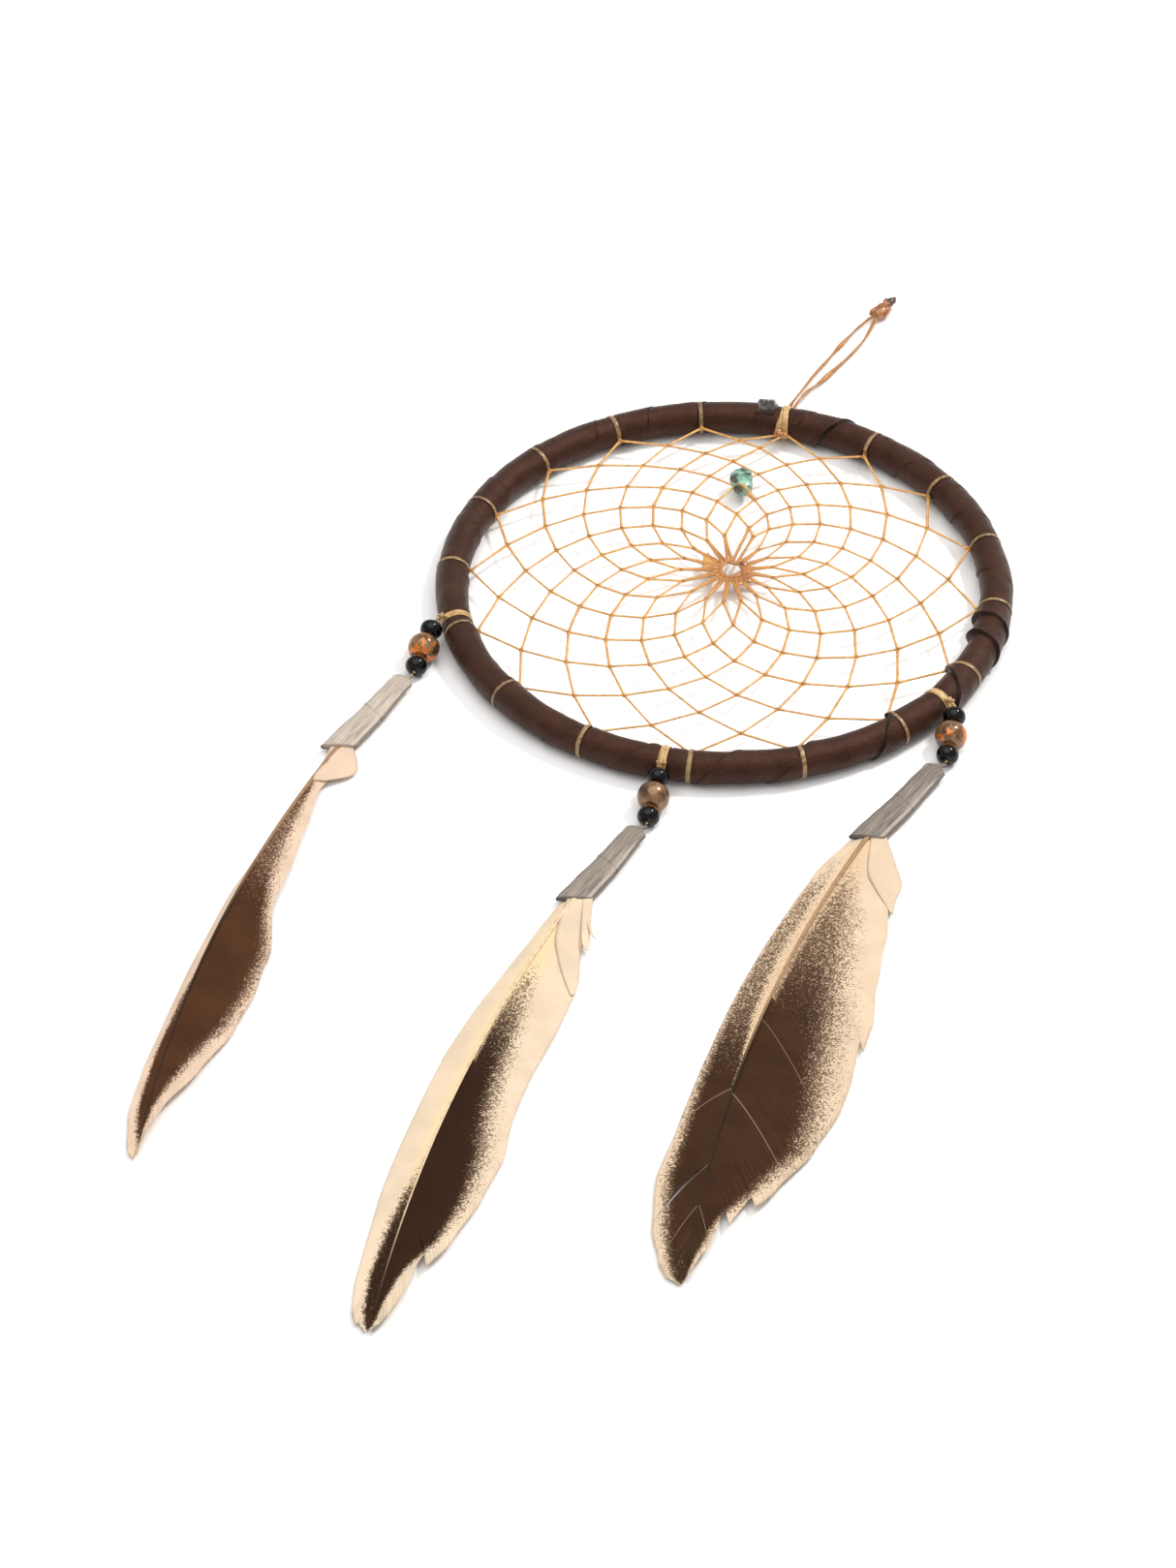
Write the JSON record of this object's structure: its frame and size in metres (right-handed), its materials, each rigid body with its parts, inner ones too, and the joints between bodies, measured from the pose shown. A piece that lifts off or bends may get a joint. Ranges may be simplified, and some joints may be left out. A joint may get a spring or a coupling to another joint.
{
  "type": "dream catcher",
  "caption": "Leather-wrapped hoop with a knotted sinew web, a turquoise chip, a hanging loop and beaded pendants that end in feathers.",
  "frame": {"origin": "the point on the back plane where a nail passes through the hanging loop's eye", "axes": "+Y from the hoop towards the loop's end, which is up when it hangs; +X to the right as seen from the front; +Z out of the front face; the object lies on its back on the plane z = 0"},
  "size_m": [0.1704, 0.4121, 0.0094],
  "materials": {
    "leather": "satin brown leather strip",
    "core": "bare, hidden",
    "web_sinew": "waxed sinew, slightly translucent",
    "band_sinew": "flat golden waxed sinew",
    "loop_sinew": "flat orange waxed sinew",
    "burnt_sinew": "melted sinew, glossy",
    "turquoise": "polished turquoise with brown matrix",
    "black_bead": "gloss black",
    "glass_bead": "mottled bronze and orange glass",
    "cuff_leather": "grey, streaked",
    "quill": "horn-like feather shaft",
    "feather": "barbed feather vane, brown and cream"
  },
  "bodies": {
    "hoop": {"hoop_core": "core", "leather_wrap": "leather", "wrap_tail": "leather", "web_hitches": "band_sinew", "web_net": "web_sinew", "web_knot": "burnt_sinew", "binding_knot": "burnt_sinew", "turquoise_chip": "turquoise", "left_band": "band_sinew", "middle_band": "band_sinew", "right_band": "band_sinew"},
    "hanging_loop": {"hanger_binding": "band_sinew", "loop_strand_left": "loop_sinew", "loop_strand_right": "loop_sinew", "end_knot": "burnt_sinew"},
    "left_string": {"left_cord": "band_sinew"},
    "left_upper_bead": {"left_upper_bead": "black_bead"},
    "left_glass_bead": {"left_glass_bead": "glass_bead"},
    "left_lower_bead": {"left_lower_bead": "black_bead"},
    "left_feather": {"left_cuff": "cuff_leather", "left_quill": "quill", "left_vane": "feather"},
    "middle_string": {"middle_cord": "band_sinew"},
    "middle_upper_bead": {"middle_upper_bead": "black_bead"},
    "middle_glass_bead": {"middle_glass_bead": "glass_bead"},
    "middle_lower_bead": {"middle_lower_bead": "black_bead"},
    "middle_feather": {"middle_cuff": "cuff_leather", "middle_quill": "quill", "middle_vane": "feather"},
    "right_string": {"right_cord": "band_sinew"},
    "right_upper_bead": {"right_upper_bead": "black_bead"},
    "right_glass_bead": {"right_glass_bead": "glass_bead"},
    "right_lower_bead": {"right_lower_bead": "black_bead"},
    "right_feather": {"right_cuff": "cuff_leather", "right_quill": "quill", "right_vane": "feather"}
  },
  "joints": [
    {"name": "hanger_swing", "type": "hinge", "parent": "hoop", "child": "hanging_loop", "pos_m": [-0.00825, -0.0408, 0.0043], "axis": [1, 0, 0], "range_deg": [-75, 75]},
    {"name": "left_swing", "type": "hinge", "parent": "hoop", "child": "left_string", "pos_m": [-0.07604, -0.14647, 0.0079], "axis": [-1, 0, 0], "range_deg": [-3, 75]},
    {"name": "left_upper_bead_spin", "type": "hinge", "parent": "left_string", "child": "left_upper_bead", "pos_m": [-0.07808, -0.14994, 0.00559], "axis": [-0.0627, -0.9704, -0.2334], "continuous": true},
    {"name": "left_glass_bead_spin", "type": "hinge", "parent": "left_string", "child": "left_glass_bead", "pos_m": [-0.07844, -0.15551, 0.00425], "axis": [-0.0627, -0.9704, -0.2334], "continuous": true},
    {"name": "left_lower_bead_spin", "type": "hinge", "parent": "left_string", "child": "left_lower_bead", "pos_m": [-0.0788, -0.16109, 0.00291], "axis": [-0.0627, -0.9704, -0.2334], "continuous": true},
    {"name": "left_sway", "type": "hinge", "parent": "left_string", "child": "left_feather", "pos_m": [-0.07896, -0.16352, 0.00232], "axis": [0, 0, 1], "range_deg": [-30, 15]},
    {"name": "middle_swing", "type": "hinge", "parent": "hoop", "child": "middle_string", "pos_m": [-0.00692, -0.18808, 0.0079], "axis": [-1, 0, 0], "range_deg": [-3, 75]},
    {"name": "middle_upper_bead_spin", "type": "hinge", "parent": "middle_string", "child": "middle_upper_bead", "pos_m": [-0.00682, -0.19131, 0.00559], "axis": [0.0322, -0.9718, -0.2334], "continuous": true},
    {"name": "middle_glass_bead_spin", "type": "hinge", "parent": "middle_string", "child": "middle_glass_bead", "pos_m": [-0.00663, -0.1969, 0.00425], "axis": [0.0322, -0.9718, -0.2334], "continuous": true},
    {"name": "middle_lower_bead_spin", "type": "hinge", "parent": "middle_string", "child": "middle_lower_bead", "pos_m": [-0.00645, -0.20249, 0.00291], "axis": [0.0322, -0.9718, -0.2334], "continuous": true},
    {"name": "middle_sway", "type": "hinge", "parent": "middle_string", "child": "middle_feather", "pos_m": [-0.00637, -0.20492, 0.00232], "axis": [0, 0, 1], "range_deg": [-15, 12]},
    {"name": "right_swing", "type": "hinge", "parent": "hoop", "child": "right_string", "pos_m": [0.05916, -0.14623, 0.0079], "axis": [-1, 0, 0], "range_deg": [-3, 75]},
    {"name": "right_upper_bead_spin", "type": "hinge", "parent": "right_string", "child": "right_upper_bead", "pos_m": [0.06119, -0.14969, 0.00559], "axis": [0.0611, -0.9705, -0.2334], "continuous": true},
    {"name": "right_glass_bead_spin", "type": "hinge", "parent": "right_string", "child": "right_glass_bead", "pos_m": [0.06155, -0.15527, 0.00425], "axis": [0.0611, -0.9705, -0.2334], "continuous": true},
    {"name": "right_lower_bead_spin", "type": "hinge", "parent": "right_string", "child": "right_lower_bead", "pos_m": [0.0619, -0.16085, 0.00291], "axis": [0.0611, -0.9705, -0.2334], "continuous": true},
    {"name": "right_sway", "type": "hinge", "parent": "right_string", "child": "right_feather", "pos_m": [0.06205, -0.16328, 0.00232], "axis": [0, 0, 1], "range_deg": [-8, 30]}
  ]
}
